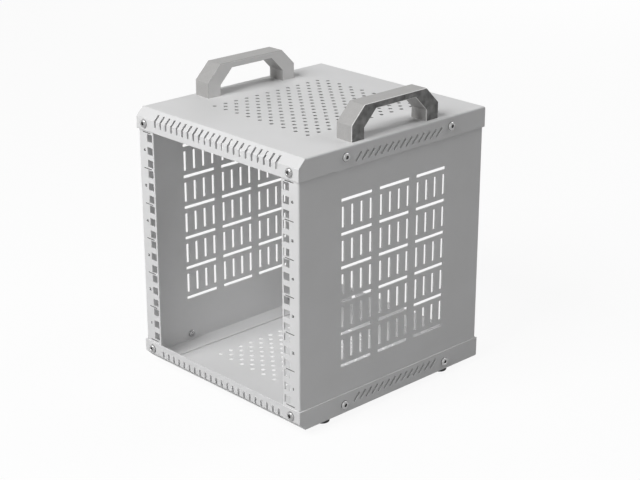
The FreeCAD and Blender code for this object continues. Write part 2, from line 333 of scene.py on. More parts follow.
def bare_walls_with_painted_light(material):
    """Bare metal on punched walls, inside the thickness of the flats, painted darker as painted shade on the
    cover and near white as a painted reflection on the pan.
    """
    tree = material.node_tree
    shader = tree.nodes["Principled BSDF"]
    in_flat = layer(tree, UPWARDS, shell_middle, half_height - WALL_DEPTH, half_height - SKIN)
    in_field = layer(tree, SIDEWAYS, 0.0, NO_LIMIT, half_width - FIELD_FROM_SIDES)
    clear_of_ends = layer(tree, BACKWARDS, 0.0, NO_LIMIT, half_depth - FIELD_FROM_ENDS)
    holes = number_math(tree, "MULTIPLY", in_flat, in_field)
    bare_and_shaded = number_math(tree, "MULTIPLY", holes, clear_of_ends)
    low = layer(tree, UPWARDS, shell_bottom, NO_LIMIT, PAN_LAYER)
    # Painted shade on the cover's bare walls, and a near-white painted reflection on the pan's.
    painted(material, bare_and_shaded, BARE_WALL_PAINTED_SHADE)
    painted(material, number_math(tree, "MULTIPLY", holes, low), PAINTED_DESK_REFLECTION)
    rough = shader.inputs["Roughness"].links[0].from_socket
    tree.links.new(bare_and_shaded, shader.inputs["Metallic"])
    tree.links.new(mixed(tree, bare_and_shaded, "FLOAT", rough, WALL_ROUGHNESS), shader.inputs["Roughness"])


LIP_COVERS = lip_height - 1.0 * MM
OUTER_LAYER = 0.1 * MM
# Painted shade: the panels' outer faces under the lips are drawn darker, so the side slots look deep.
PAINTED_SHADE_UNDER_LIPS = (*grey(0.60), 1.0)


def paint_shade_under_lips(material, outer_face):
    """Painted shade on the panels' outer faces, as far as the lips of cover and pan reach, which darkens the
    ground of the side slots.
    """
    tree = material.node_tree
    covered = layer(tree, UPWARDS, shell_middle, half_height - LIP_COVERS, FAR)
    outside = layer(tree, SIDEWAYS, 0.0, outer_face - OUTER_LAYER, FAR)
    painted(material, number_math(tree, "MULTIPLY", covered, outside), PAINTED_SHADE_UNDER_LIPS)


HANDLE_EDGE = 0.8 * MM
# Painted light on the inner faces, a painted highlight along the outer edge, and mottled painted shade on the
# outer faces.
PAINTED_LIGHT_INNER_FACE = (0.70, 0.695, 0.69, 1.0)
PAINTED_EDGE_HIGHLIGHT = (0.72, 0.715, 0.71, 1.0)
MOTTLED_SHADE_TONES = (grey(0.10), (0.28, 0.28, 0.275))
PATCH_SCALE = 90.0
PATCH_DETAIL = 4.0


def paint_handle_light_and_shade(material, inner_face, outer_face):
    """Mottled painted shade on the handles' outer faces, a painted highlight along their outer edges and
    painted light on the inner faces.
    """
    tree = material.node_tree
    mottled_shade = ramp(tree, noise(tree, object_place(tree), PATCH_SCALE, PATCH_DETAIL), *MOTTLED_SHADE_TONES)
    for nearest, farthest, colour in ((NO_LIMIT, inner_face + SKIN, PAINTED_LIGHT_INNER_FACE),
                                      (outer_face - HANDLE_EDGE, outer_face - SKIN, PAINTED_EDGE_HIGHLIGHT),
                                      (outer_face - SKIN, FAR, mottled_shade)):
        painted(material, layer(tree, SIDEWAYS, 0.0, nearest, farthest), colour)


RECESS = "recess"
# Painted shade: the sockets' walls are drawn dark, standing in for the shade deep inside them.
PAINTED_SOCKET_SHADE = (*grey(0.17), 1.0)


def paint_socket_shade(material, attribute):
    """Painted shade on the walls of the key sockets, wherever the piece's own attribute is one."""
    recess = add_node(material.node_tree, "ShaderNodeAttribute", attribute_name=attribute)
    painted(material, recess.outputs["Fac"], PAINTED_SOCKET_SHADE)


panel_sheet_metal = sheet_metal.copy()
panel_sheet_metal.name = "silver coated panel"
paint_shade_under_lips(panel_sheet_metal, panel_high.x)
bare_walls_with_painted_light(sheet_metal)
paint_handle_light_and_shade(handle_metal, handle_low.x, handle_high.x)
paint_socket_shade(screw_metal, RECESS)
print("masked finishes:", sheet_metal.name, panel_sheet_metal.name, handle_metal.name, screw_metal.name)

# %% [markdown]
# The feet are black rubber with a dull, slightly pitted skin, and the unit marks on the
# rails are thin dark printing. Neither is metal, so their tones stay very close together.

# %% Rubber and print
foot_rubber = metal("black rubber", (grey(0.012), grey(0.03)), rough=(0.6, 0.8),
                    metallic=0.0, grain=1200.0, cloud=80.0, share=0.5, bump=0.6)
mark_ink = metal("grey print", (grey(0.02), grey(0.05)), rough=(0.5, 0.6),
                 metallic=0.0, grain=2000.0, cloud=200.0, share=0.5, bump=0.2)
print("other finishes:", foot_rubber.name, mark_ink.name)

# %% [markdown]
# A press tool stamps the same shape again and again on a grid. This Geometry Nodes tree
# does that: it scatters points by rule and puts one stamp on each. The stagger moves each
# second column by half a step, which is how perforated sheet is laid out. The same tree
# serves slots, round and square holes and the printed ticks, so the rule is written once.
# Its last steps turn the instances into real faces and give them a material.

# %% A tree for stamped patterns
TREE = "GeometryNodeTree"


def steps_along(tree, step, count, amount):
    """A vector step times how far a column or row number is from the middle of its row."""
    middle = number_math(tree, "MULTIPLY", number_math(tree, "SUBTRACT", amount, 1.0), 0.5)
    return vector_math(tree, "SCALE", step, number_math(tree, "SUBTRACT", count, middle))


def put_copies(tree, points, piece, rotation, material):
    """The end of each tree: a copy of the piece on each point, as real faces of one material."""
    source = add_node(tree, "GeometryNodeObjectInfo")
    source.inputs["As Instance"].default_value = True
    put = add_node(tree, "GeometryNodeInstanceOnPoints")
    real = add_node(tree, "GeometryNodeRealizeInstances")
    paint = add_node(tree, "GeometryNodeSetMaterial")
    for start, end in ((piece, source.inputs["Object"]), (source.outputs["Geometry"], put.inputs["Instance"]),
                       (points, put.inputs["Points"]), (rotation, put.inputs["Rotation"]),
                       (put.outputs[0], real.inputs[0]), (real.outputs[0], paint.inputs["Geometry"]),
                       (material, paint.inputs["Material"]),
                       (paint.outputs[0], add_node(tree, GROUP_OUT).inputs[0])):
        tree.links.new(start, end)


def pattern_tree():
    """Stamps on a grid of columns and rows about a centre, with an optional stagger."""
    tree = bpy.data.node_groups.new("Stamped pattern", TREE)
    names = sockets(tree, "INPUT", ("Stamp", "Object", None), ("Material", "Material", None),
                    ("Columns", "Int", 1), ("Rows", "Int", 1), ("Centre", "Vector", None),
                    ("Column Step", "Vector", None), ("Row Step", "Vector", None),
                    ("Stagger", "Vector", None), ("Turn", "Rotation", None))
    sockets(tree, "OUTPUT", ("Geometry", "Geometry", None))
    given = add_node(tree, GROUP_IN).outputs
    index = add_node(tree, "GeometryNodeInputIndex").outputs[0]
    column = number_math(tree, "FLOORED_MODULO", index, given["Columns"])
    row = number_math(tree, "FLOOR", number_math(tree, "DIVIDE", index, given["Columns"]))
    second = number_math(tree, "FLOORED_MODULO", column, 2.0)
    place = given["Centre"]
    for step in (steps_along(tree, given["Column Step"], column, given["Columns"]),
                 steps_along(tree, given["Row Step"], row, given["Rows"]),
                 vector_math(tree, "SCALE", given["Stagger"], second)):
        place = vector_math(tree, "ADD", place, step)
    points = add_node(tree, "GeometryNodePoints")
    feed(tree, number_math(tree, "MULTIPLY", given["Columns"], given["Rows"]), points.inputs["Count"])
    feed(tree, place, points.inputs["Position"])
    put_copies(tree, points.outputs[0], given["Stamp"], given["Turn"], given["Material"])
    return tree, names


stamped_pattern, pattern_names = pattern_tree()
print("tree", stamped_pattern.name, "takes", ", ".join(pattern_names))

# %% [markdown]
# A tree is a recipe on a modifier. The next helper sets its inputs by their identifiers,
# lets Blender work it out once, and keeps the result as a plain mesh without the modifier,
# which is what the export needs.

# %% From a tree to a plain mesh
WELD = 0.0001 * MM


def link(name, mesh):
    """A new object for a mesh, linked to the scene."""
    made = bpy.data.objects.new(name, mesh)
    scene.collection.objects.link(made)
    return made


def settled(thing):
    """The object's modifiers worked out into its mesh and then removed."""
    view = bpy.context.evaluated_depsgraph_get()
    mesh = bpy.data.meshes.new_from_object(thing.evaluated_get(view))
    thing.modifiers.clear()
    thing.data = mesh
    return thing


def closed(mesh):
    """The mesh with its seams welded and any sliver that a cut left open filled."""
    form = bmesh.new()
    form.from_mesh(mesh)
    bmesh.ops.remove_doubles(form, verts=form.verts, dist=WELD)
    open_edges = [edge for edge in form.edges if edge.is_boundary]
    bmesh.ops.holes_fill(form, edges=open_edges, sides=0)
    bmesh.ops.recalc_face_normals(form, faces=form.faces)
    form.to_mesh(mesh)
    form.free()


def grown(name, tree, names, mesh=None, **values):
    """A mesh object made by a tree. Names like Column_Step stand for inputs with spaces."""
    thing = link(name, mesh or bpy.data.meshes.new(name))
    modifier = thing.modifiers.new(name, "NODES")
    modifier.node_group = tree
    for key, value in values.items():
        modifier[names[key.replace("_", " ")]] = value
    return settled(thing)


def discard(thing):
    """A tool that has done its work leaves the scene."""
    bpy.data.objects.remove(thing)


def pattern(name, stamp, material=sheet_metal, **values):
    """Copies of a stamp on a grid; the stamp is then discarded."""
    made = grown(name, stamped_pattern, pattern_names, Stamp=stamp, Material=material, **values)
    discard(stamp)
    return made


def solid_from(name, form):
    """A bmesh kept as an object of its own."""
    mesh = bpy.data.meshes.new(name)
    form.to_mesh(mesh)
    form.free()
    return link(name, mesh)


print("helpers ready: link, settled, closed, grown, discard, pattern, solid_from")

# %% [markdown]
# Stamps are small closed solids: a block for slots and square holes, and a round bar for
# punched holes. They reach well past the sheet on both sides, so that a cut goes through.

# %% Stamps
ROUND_SIDES = 20


def block(name, size):
    """A closed block about the origin."""
    form = bmesh.new()
    bmesh.ops.create_cube(form, size=1.0)
    bmesh.ops.scale(form, vec=size, verts=form.verts)
    return solid_from(name, form)


def bar(name, radius, length, sides=ROUND_SIDES):
    """A closed round bar about the origin, along Z."""
    form = bmesh.new()
    bmesh.ops.create_cone(form, cap_ends=True, segments=sides, radius1=radius, radius2=radius, depth=length)
    return solid_from(name, form)


print("stamps ready: block, bar")

# %% [markdown]
# The cover, the pan and the side panels are each one folded sheet. On a press brake the
# outside of a fold is round and the inside has a small radius. That is made here as a
# closed outer form with bevelled folds, less an inner form that is smaller by the sheet's
# thickness. A bevel weight on each edge says how round it is. Solidify on a bent surface
# would be shorter, but its corners, where three lips meet, come out torn.

# %% Folded sheets
SHEET = 1.5 * MM
FOLD_INSIDE = 0.5 * MM
FOLD_OUTSIDE = SHEET + FOLD_INSIDE
SHARP = 0.3 * MM
OPEN_EDGE = 0.3 * MM
FOLD_STEPS = 4
FRONT_CHAMFER = 10.0 * MM
NEAR = 0.01 * MM


def near(a, b):
    return abs(a - b) < NEAR


def prism(name, outline, x0, x1, roundness):
    """An outline in Y and Z drawn out along X, each edge bevelled by roundness(middle of edge)."""
    form = bmesh.new()
    ends = [[form.verts.new((x, y, z)) for y, z in outline] for x in (x0, x1)]
    count = len(outline)
    for i in range(count):
        j = (i + 1) % count
        form.faces.new((ends[0][i], ends[0][j], ends[1][j], ends[1][i]))
    for end in ends:
        form.faces.new(end)
    bmesh.ops.recalc_face_normals(form, faces=form.faces)
    weight = form.edges.layers.float.new("bevel_weight_edge")
    for edge in form.edges:
        middle = (edge.verts[0].co + edge.verts[1].co) / 2
        edge[weight] = roundness(middle) / FOLD_OUTSIDE
    solid = solid_from(name, form)
    bevel = solid.modifiers.new("folds", "BEVEL")
    bevel.limit_method = "WEIGHT"
    bevel.width = FOLD_OUTSIDE
    bevel.segments = FOLD_STEPS
    bevel.use_clamp_overlap = False
    return settled(solid)


def cut(sheet, *tools):
    """The sheet less each tool, one after another; the tools are then discarded."""
    for tool in tools:
        saw = sheet.modifiers.new("cut", "BOOLEAN")
        saw.operation = "DIFFERENCE"
        saw.solver = "EXACT"
        saw.object = tool
        settled(sheet)
        discard(tool)
    return sheet


print("helpers ready: prism, cut")

# %% [markdown]
# The cover's side outline has the slanted front edge of the real rack. The pan is the same
# sheet turned over, so one function makes both, with a sign for up or down.

# %% Blank of the cover and the pan
CHAMFER_SETBACK = 2 - math.sqrt(2)


def flat_height(up, depth=0.0):
    """Height of the tray's flat, or of a place some depth inwards from it."""
    return shell_middle + up * (half_height - depth)


def tray_outline(up, inset, slack=0.0):
    """Side outline (Y, Z): front lip, slanted edge, flat and rear lip; slack lengthens the lips."""
    reach = half_depth - inset
    flat = flat_height(up, inset)
    chamfer = FRONT_CHAMFER - inset * CHAMFER_SETBACK
    open_edge = shell_middle + up * (half_height - lip_height - slack)
    return [(-reach, open_edge), (-reach, flat - up * chamfer), (-reach + chamfer, flat),
            (reach, flat), (reach, open_edge)]


def tray(name, up):
    """A folded tray of one sheet, open on its inner side."""
    def outer_edges(p):
        at_flat = near(p.z, flat_height(up))
        if near(abs(p.z - shell_middle), open_height):
            return OPEN_EDGE
        folded = at_flat and (near(abs(p.x), half_width) or near(p.y, half_depth))
        return FOLD_OUTSIDE if folded else SHARP

    def inner_edges(p):
        return FOLD_INSIDE if abs(p.z - shell_middle) > open_height + NEAR else 0.0

    open_height = half_height - lip_height
    inner_half = half_width - SHEET
    outer = prism(name, tray_outline(up, 0.0), -half_width, half_width, outer_edges)
    inner = prism("inner", tray_outline(up, SHEET, SHEET), -inner_half, inner_half, inner_edges)
    return cut(outer, inner)


cover = tray("cover_sheet", 1)
pan = tray("pan_sheet", -1)
print("blanks:", len(cover.data.polygons), "and", len(pan.data.polygons), "faces")

# %% [markdown]
# Next comes the punching. The field of round holes is 17 columns wide and staggered; the
# front lips have upright slots that run over the slanted edge, and the side lips have
# slots that lean to the rear. Each is one pattern of stamps, taken away from the blank.

# %% Punches for the cover and the pan
PUNCH_DIAMETER = 5.0 * MM
PUNCH_COLUMNS = 17
PUNCH_ROWS = 11
PUNCH_STEP = 10.0 * MM
PUNCH_HALF_ROW = 8.33 * MM
PUNCH_FROM_CHAMFER = 60.0 * MM
SLOT_WIDTH = 3.0 * MM
SLOT_PITCH = 10.0 * MM
FRONT_SLOTS = 22
FRONT_SLOT_NEAR = 3.5 * MM
FRONT_SLOT_FAR = 18.0 * MM
SIDE_SLOTS = 14
SIDE_SLOT_LENGTH = 13.0 * MM
SIDE_SLOT_DEPTH = 15.0 * MM
SIDE_SLOT_LEAN = math.radians(45)
REAR_HOLE_DIAMETER = 9.0 * MM
REAR_HOLE_SPACING = 152.0 * MM
THROUGH = 4 * SHEET
slope_middle = FRONT_CHAMFER / 2


def punched_field(up):
    first_row = -half_depth + FRONT_CHAMFER + PUNCH_FROM_CHAMFER
    return pattern("field", bar("stamp", PUNCH_DIAMETER / 2, THROUGH),
                   Columns=PUNCH_COLUMNS, Rows=PUNCH_ROWS,
                   Centre=(0.0, first_row + (PUNCH_ROWS - 1) * PUNCH_HALF_ROW, flat_height(up)),
                   Column_Step=(PUNCH_STEP, 0, 0), Row_Step=(0, 2 * PUNCH_HALF_ROW, 0),
                   Stagger=(0, PUNCH_HALF_ROW, 0))


def front_slots(up):
    reach = FRONT_CHAMFER + SHEET
    centre = (0.0, -half_depth - SHEET + reach / 2, flat_height(up, (FRONT_SLOT_FAR + FRONT_SLOT_NEAR) / 2))
    stamp = block("stamp", (SLOT_WIDTH, reach, FRONT_SLOT_FAR - FRONT_SLOT_NEAR))
    return pattern("front_slots", stamp, Columns=FRONT_SLOTS, Centre=centre, Column_Step=(SLOT_PITCH, 0, 0))


def side_slots(up):
    return pattern("side_slots", block("stamp", (THROUGH, SLOT_WIDTH, SIDE_SLOT_LENGTH)),
                   Columns=SIDE_SLOTS, Rows=2, Centre=(0.0, slope_middle, flat_height(up, SIDE_SLOT_DEPTH)),
                   Column_Step=(0, SLOT_PITCH, 0), Row_Step=(2 * half_width, 0, 0),
                   Turn=(-SIDE_SLOT_LEAN, 0, 0))


def rear_holes(up):
    return pattern("rear_holes", bar("stamp", REAR_HOLE_DIAMETER / 2, THROUGH), Columns=2,
                   Turn=(math.pi / 2, 0, 0), Centre=(0.0, half_depth, flat_height(up, lip_height / 2)),
                   Column_Step=(REAR_HOLE_SPACING, 0, 0))


for sheet, up in ((cover, 1), (pan, -1)):
    cut(sheet, punched_field(up), front_slots(up), side_slots(up), rear_holes(up))
    print(sheet.name, "after punching:", len(sheet.data.polygons), "faces")

# %% [markdown]
# A side panel is a box-like fold: the web that carries the vents, the front rail with its
# square holes, and flanges at the top, the bottom and the rear. The blank is made the same
# way as the cover's, closed on the outside and open towards the bay.

# %% Blank of a side panel
REAR_FLANGE = 20.0 * MM
CORNER_RELIEF = 1.0 * MM
REAR_CORNER_RELIEF = 4.0 * MM
panel_reach = -panel_low.y
panel_inset = half_depth - panel_reach


def panel_outline(inset):
    """Side outline (Y, Z) of a panel, with both front corners cut like the cover's."""
    reach = half_depth - inset
    high = shell_top - inset
    low = shell_bottom + inset
    chamfer = FRONT_CHAMFER - inset * CHAMFER_SETBACK
    return [(-reach, low + chamfer), (-reach, high - chamfer), (-reach + chamfer, high),
            (reach, high), (reach, low), (-reach + chamfer, low)]


def block_between(name, corner, opposite):
    """A closed block between two opposite corners."""
    low = Vector(min(a, b) for a, b in zip(corner, opposite))
    high = Vector(max(a, b) for a, b in zip(corner, opposite))
    made = block(name, high - low)
    made.data.transform(Matrix.Translation((low + high) / 2))
    return made


def panel_blank(name):
    """The right panel before its holes."""
    outside = panel_high.x
    web_inside = outside - SHEET

    def outer_edges(p):
        return FOLD_OUTSIDE if near(p.x, outside) else 0.0

    def inner_edges(p):
        return FOLD_INSIDE if near(p.x, web_inside) else 0.0

    outer = prism(name, panel_outline(panel_inset), panel_low.x, outside, outer_edges)
    inner = prism("inner", panel_outline(panel_inset + SHEET), panel_low.x - SHEET, web_inside, inner_edges)
    return cut(outer, inner)


def corner_notches():
    """Tools for the open rear and for the reliefs where two flanges meet."""
    past = panel_low.x - SHEET
    web_inside = panel_high.x - SHEET
    notch = FRONT_CHAMFER + CORNER_RELIEF - panel_inset * CHAMFER_SETBACK
    tools = [block_between("rear_opening",
                           (past, panel_reach - 2 * SHEET, panel_low.z + SHEET),
                           (panel_high.x - REAR_FLANGE, panel_reach + SHEET, panel_high.z - SHEET))]
    for z, inward in ((panel_high.z, -1), (panel_low.z, 1)):
        outside = z - inward * SHEET
        tools.append(block_between("front_relief", (past, -panel_reach - SHEET, outside),
                                   (web_inside, -panel_reach + notch, z + inward * notch)))
        tools.append(block_between("rear_relief", (past, panel_reach - REAR_CORNER_RELIEF, outside),
                                   (web_inside, panel_reach + SHEET, z + inward * REAR_CORNER_RELIEF)))
    return tools


panel = cut(panel_blank("panel_sheet_right"), *corner_notches())
print("panel blank:", len(panel.data.polygons), "faces")

# %% [markdown]
# The vents are three columns of long slots with four upright slots between each two, and
# the rail has three square holes to each unit of height, which is the pattern that lets
# any equipment of this size be screwed in. A unit is 44.45 mm.

# %% Vents and rail holes
UNIT_COUNT = 6
UNIT_PITCH = 44.45 * MM
HOLES_PER_UNIT = 3
HOLE_STEP = 15.875 * MM
SQUARE_HOLE = 9.5 * MM
HOLE_FROM_OPENING = 7.1375 * MM
VENT_SLOT = 4.0 * MM
VENT_COLUMNS = 3
VENT_COLUMN_PITCH = 60.0 * MM
VENT_LONG_SLOT = 49.0 * MM
VENT_ROWS = 5
VENT_ROW_PITCH = 40.0 * MM
CROSS_SLOTS = 4
CROSS_SLOT_PITCH = 14.5 * MM
CROSS_SLOT_LENGTH = 25.0 * MM
rail_hole_x = panel_low.x + HOLE_FROM_OPENING


def vents():
    """Cutters for one panel's vents: long slots and cross slots, column by column."""
    web = panel_high.x - SHEET / 2
    tools = [pattern("long_slots", block("stamp", (2 * SHEET, VENT_LONG_SLOT, VENT_SLOT)),
                     Columns=VENT_COLUMNS, Rows=VENT_ROWS + 1, Centre=(web, 0, shell_middle),
                     Column_Step=(0, VENT_COLUMN_PITCH, 0), Row_Step=(0, 0, VENT_ROW_PITCH))]
    for column in range(VENT_COLUMNS):
        y = (column - (VENT_COLUMNS - 1) / 2) * VENT_COLUMN_PITCH
        tools.append(pattern("cross_slots", block("stamp", (2 * SHEET, VENT_SLOT, CROSS_SLOT_LENGTH)),
                             Columns=CROSS_SLOTS, Rows=VENT_ROWS, Centre=(web, y, shell_middle),
                             Column_Step=(0, CROSS_SLOT_PITCH, 0), Row_Step=(0, 0, VENT_ROW_PITCH)))
    return tools


def rail_holes():
    """Cutters for the square holes up the front rail."""
    return pattern("rail_holes", block("stamp", (SQUARE_HOLE, 2 * SHEET, SQUARE_HOLE)),
                   Columns=UNIT_COUNT, Rows=HOLES_PER_UNIT,
                   Centre=(rail_hole_x, -panel_reach + SHEET / 2, shell_middle),
                   Column_Step=(0, 0, UNIT_PITCH), Row_Step=(0, 0, HOLE_STEP))


cut(panel, *vents(), rail_holes())
print("panel after cutting:", len(panel.data.polygons), "faces")

# %% [markdown]
# Screws, nuts and feet sit at known places and face known ways. Each place is one point
# that carries its direction as an attribute, and a second tree turns a copy of the piece
# to that direction. A random spin about its own axis, from a fixed seed, keeps the screws
# from looking cloned: on the real rack no two sockets stop at the same angle.

# %% A tree for seated hardware


def seating_tree():
    """Copies of one piece on points, each turned to the point's facing and spun about it."""
    tree = bpy.data.node_groups.new("Seated hardware", TREE)
    names = sockets(tree, "INPUT", ("Seats", "Geometry", None), ("Piece", "Object", None),
                    ("Material", "Material", None), ("Spin", "Float", 0.0), ("Seed", "Int", 1))
    sockets(tree, "OUTPUT", ("Geometry", "Geometry", None))
    given = add_node(tree, GROUP_IN).outputs
    facing = add_node(tree, "GeometryNodeInputNamedAttribute", data_type="FLOAT_VECTOR")
    facing.inputs["Name"].default_value = "facing"
    turn = add_node(tree, "FunctionNodeAlignRotationToVector", axis="Z")
    angle = add_node(tree, "FunctionNodeRandomValue", data_type="FLOAT")
    spin = add_node(tree, "FunctionNodeAxisAngleToRotation")
    both = add_node(tree, "FunctionNodeRotateRotation", rotation_space="LOCAL")
    for start, end in ((facing.outputs["Attribute"], turn.inputs["Vector"]),
                       (given["Spin"], angle.inputs[3]), (given["Seed"], angle.inputs["Seed"]),
                       (angle.outputs[1], spin.inputs["Angle"]),
                       (turn.outputs[0], both.inputs[0]), (spin.outputs[0], both.inputs[1])):
        tree.links.new(start, end)
    put_copies(tree, given["Seats"], given["Piece"], both.outputs[0], given["Material"])
    return tree, names


seated_hardware, seating_names = seating_tree()
FULL_TURN = 2 * math.pi


def seats(places):
    """A mesh of loose points, one for each (place, direction), that carry their facing."""
    mesh = bpy.data.meshes.new("seats")
    mesh.from_pydata([place for place, way in places], [], [])
    facing = mesh.attributes.new("facing", "FLOAT_VECTOR", "POINT")
    for item, (place, way) in zip(facing.data, places):
        item.vector = way
    return mesh


def seated(name, piece, places, material, spin=FULL_TURN, seed=1):
    """One mesh of all copies of a piece at their places; the pattern piece is discarded."""
    made = grown(name, seated_hardware, seating_names, seats(places), Piece=piece,
                 Material=material, Spin=spin, Seed=seed)
    discard(piece)
    return made


print("tree", seated_hardware.name, "takes", ", ".join(seating_names))

# %% [markdown]
# The places come from the frame itself. A lip screw's node is longest along its own axis,
# and its head is at the outer end, so the box of each node says where the seat is and
# which way it faces. That way the detailed screws can't drift from the plain ones.

# %% Where the fasteners sit
HEAD_HEIGHT = 2.8 * MM


def seat_of(node):
    """Seat and outward direction of a screw, from its node's box and its name."""
    low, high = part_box(node)
    middle = (low + high) / 2
    if node.startswith("handle_screw"):
        return Vector((middle.x, middle.y, low.z + HEAD_HEIGHT)), Vector((0, 0, -1))
    axis = 1 if node.startswith(("lip_screw_front", "lip_screw_rear")) else 0
    way = Vector((0, 0, 0))
    way[axis] = math.copysign(1.0, middle[axis])
    place = middle.copy()
    place[axis] = (high if way[axis] > 0 else low)[axis] - way[axis] * HEAD_HEIGHT
    return place, way


def nodes_named(start):
    return sorted(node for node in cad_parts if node.startswith(start))


lip_screw_nodes = nodes_named("lip_screw")
handle_screw_nodes = nodes_named("handle_screw")
nut_nodes = nodes_named("press_nut")
foot_nodes = nodes_named("foot")
lip_screw_seats = [seat_of(n) for n in lip_screw_nodes]
handle_screw_seats = [seat_of(n) for n in handle_screw_nodes]
print("seats:", len(lip_screw_seats), "in the lips,", len(handle_screw_seats), "under the handles")

# %% [markdown]
# Every fastener needs its clearance hole through the sheets that it joins. The same
# seats place the drill, so a hole is always under its screw.

# %% Clearance holes
CLEARANCE_DIAMETER = 5.5 * MM
DRILL_DEPTH = 12.0 * MM


def drilled(sheet, places):
    """The sheet with a clearance hole at each place."""
    drill = bar("drill", CLEARANCE_DIAMETER / 2, DRILL_DEPTH)
    return cut(sheet, seated("drills", drill, places, sheet_metal))


def on_sheet(places, test):
    return [(place, way) for place, way in places if test(place)]


drilled(cover, on_sheet(lip_screw_seats + handle_screw_seats, lambda p: p.z > shell_middle))
drilled(pan, on_sheet(lip_screw_seats, lambda p: p.z < shell_middle))
drilled(panel, on_sheet(lip_screw_seats + handle_screw_seats, lambda p: p.x > 0))
print("drilled:", len(cover.data.polygons), len(pan.data.polygons), len(panel.data.polygons), "faces")

# %% [markdown]
# The left panel is folded the other way from the same blank, so it is the finished right
# panel mirrored. Mirroring turns a mesh inside out, so its faces are flipped back.

# %% The left panel


def mirrored(thing, name):
    """A copy of a mesh object on the other side of the middle plane, faces outwards."""
    mesh = thing.data.copy()
    mesh.name = name
    for vertex in mesh.vertices:
        vertex.co.x = -vertex.co.x
    mesh.flip_normals()
    return link(name, mesh)


left_panel = mirrored(panel, "panel_sheet_left")
print("left panel:", len(left_panel.data.polygons), "faces")

# %% [markdown]
# A turned piece is a profile spun about Z: pairs of radius and height from one end to the
# other. One of its rings may be a hexagon, for the key socket of a screw. Making the rings
# by hand keeps the faces few and even, where a boolean socket would leave slivers.

# %% Turned pieces
TURNED_SIDES = 24


def ring_radius(radius, angle, hexagon):
    """Distance from the axis at an angle: round, or the flat side of a hexagon."""
    if not hexagon:
        return radius
    sixth = math.pi / 3
    return radius / math.cos((angle % sixth) - sixth / 2)


def turned(name, profile, sides=TURNED_SIDES, hollow=False):
    """A closed turned mesh from (radius, height) or (radius, height, "hex") stations.

    All stations after the first hexagon lie in the key socket and carry the recess mask."""
    form = bmesh.new()
    recess = form.verts.layers.float.new(RECESS)
    hexagons = [i for i, station in enumerate(profile) if len(station) > 2]
    socket_top = hexagons[0] if hexagons else len(profile)
    rings = []
    for station in profile:
        radius, height = station[:2]
        angles = [2 * math.pi * i / sides for i in range(sides)]
        spans = [ring_radius(radius, a, len(station) > 2) for a in angles]
        ring = [form.verts.new((r * math.cos(a), r * math.sin(a), height)) for r, a in zip(spans, angles)]
        for vertex in ring:
            vertex[recess] = 1.0 if len(rings) > socket_top else 0.0
        rings.append(ring)
    pairs = list(zip(rings, rings[1:]))
    if hollow:
        pairs.append((rings[-1], rings[0]))
    for low, high in pairs:
        for i in range(sides):
            j = (i + 1) % sides
            form.faces.new((low[i], low[j], high[j], high[i]))
    if not hollow:
        form.faces.new(rings[0])
        form.faces.new(rings[-1])
    bmesh.ops.recalc_face_normals(form, faces=form.faces)
    return solid_from(name, form)


print("helper ready: turned")

# %% [markdown]
# The screws are button heads with a hexagon socket: a low dome, a small rim that sits on
# the lip, and a recess for the key. The shank is left plain, with a chamfered tip: its
# thread is hidden in the nut, and a real one would only cost triangles.

# %% Screws
HEAD_RADIUS = 5.25 * MM
SHANK_RADIUS = 2.5 * MM
SOCKET_RADIUS = 2.0 * MM
SOCKET_DEPTH = 2.0 * MM
SOCKET_LEAD = 0.2 * MM
SOCKET_LEAD_DEPTH = 0.05 * MM
SOCKET_CONE = 0.3 * MM
SOCKET_POINT = 0.3 * MM
SOCKET_DRILL = 0.4 * MM
HEAD_RIM = 0.7 * MM
HEAD_RIM_EDGE = 0.2 * MM
HEAD_FLAT_RADIUS = 2.8 * MM
SHANK_TIP = 0.6 * MM
ROUND_STEPS = 5


def quarter_turn():
    """Angles of a quarter circle, from nought to a right angle."""
    return [math.pi / 2 * i / ROUND_STEPS for i in range(ROUND_STEPS + 1)]


def dome():
    """Stations of the head's dome, from the rim to the flat round the socket."""
    return [(HEAD_FLAT_RADIUS + (HEAD_RADIUS - HEAD_FLAT_RADIUS) * math.cos(angle),
             HEAD_RIM + (HEAD_HEIGHT - HEAD_RIM) * math.sin(angle)) for angle in quarter_turn()]


def button_screw(name, length):
    """A button head screw about +Z, seat at the origin."""
    bottom = HEAD_HEIGHT - SOCKET_DEPTH
    profile = [(SHANK_RADIUS - SHANK_TIP, -length), (SHANK_RADIUS, -length + SHANK_TIP), (SHANK_RADIUS, 0.0),
               (HEAD_RADIUS - HEAD_RIM_EDGE, 0.0), (HEAD_RADIUS, HEAD_RIM_EDGE)]
    profile += dome()
    profile += [(SOCKET_RADIUS + SOCKET_LEAD, HEAD_HEIGHT - SOCKET_LEAD_DEPTH, "hex"),
                (SOCKET_RADIUS, HEAD_HEIGHT - SOCKET_CONE, "hex"), (SOCKET_RADIUS, bottom, "hex"),
                (SOCKET_POINT, bottom - SOCKET_DRILL)]
    return turned(name, profile)


def length_below_seat(node):
    """How far a screw reaches below its seat."""
    low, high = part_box(node)
    return max(high - low) - HEAD_HEIGHT


lip_screws = seated("lip_screws", button_screw("screw", length_below_seat(lip_screw_nodes[0])),
                    lip_screw_seats, screw_metal, seed=3)
handle_screws = seated("handle_screws", button_screw("screw", length_below_seat(handle_screw_nodes[0])),
                       handle_screw_seats, screw_metal, seed=4)
print("screws:", len(lip_screws.data.polygons), "and", len(handle_screws.data.polygons), "faces")

# %% [markdown]
# Behind each lip screw sits a press nut: a round collar pressed into the panel's sheet,
# with a small chamfer at each edge. Its bore is left smooth, as the screw fills it.

# %% Press nuts
NUT_RADIUS = 4.5 * MM
NUT_HEIGHT = 3.6 * MM
NUT_EDGE = 0.35 * MM
NUT_BORE = 2.56 * MM
nut_depth = panel_inset + SHEET


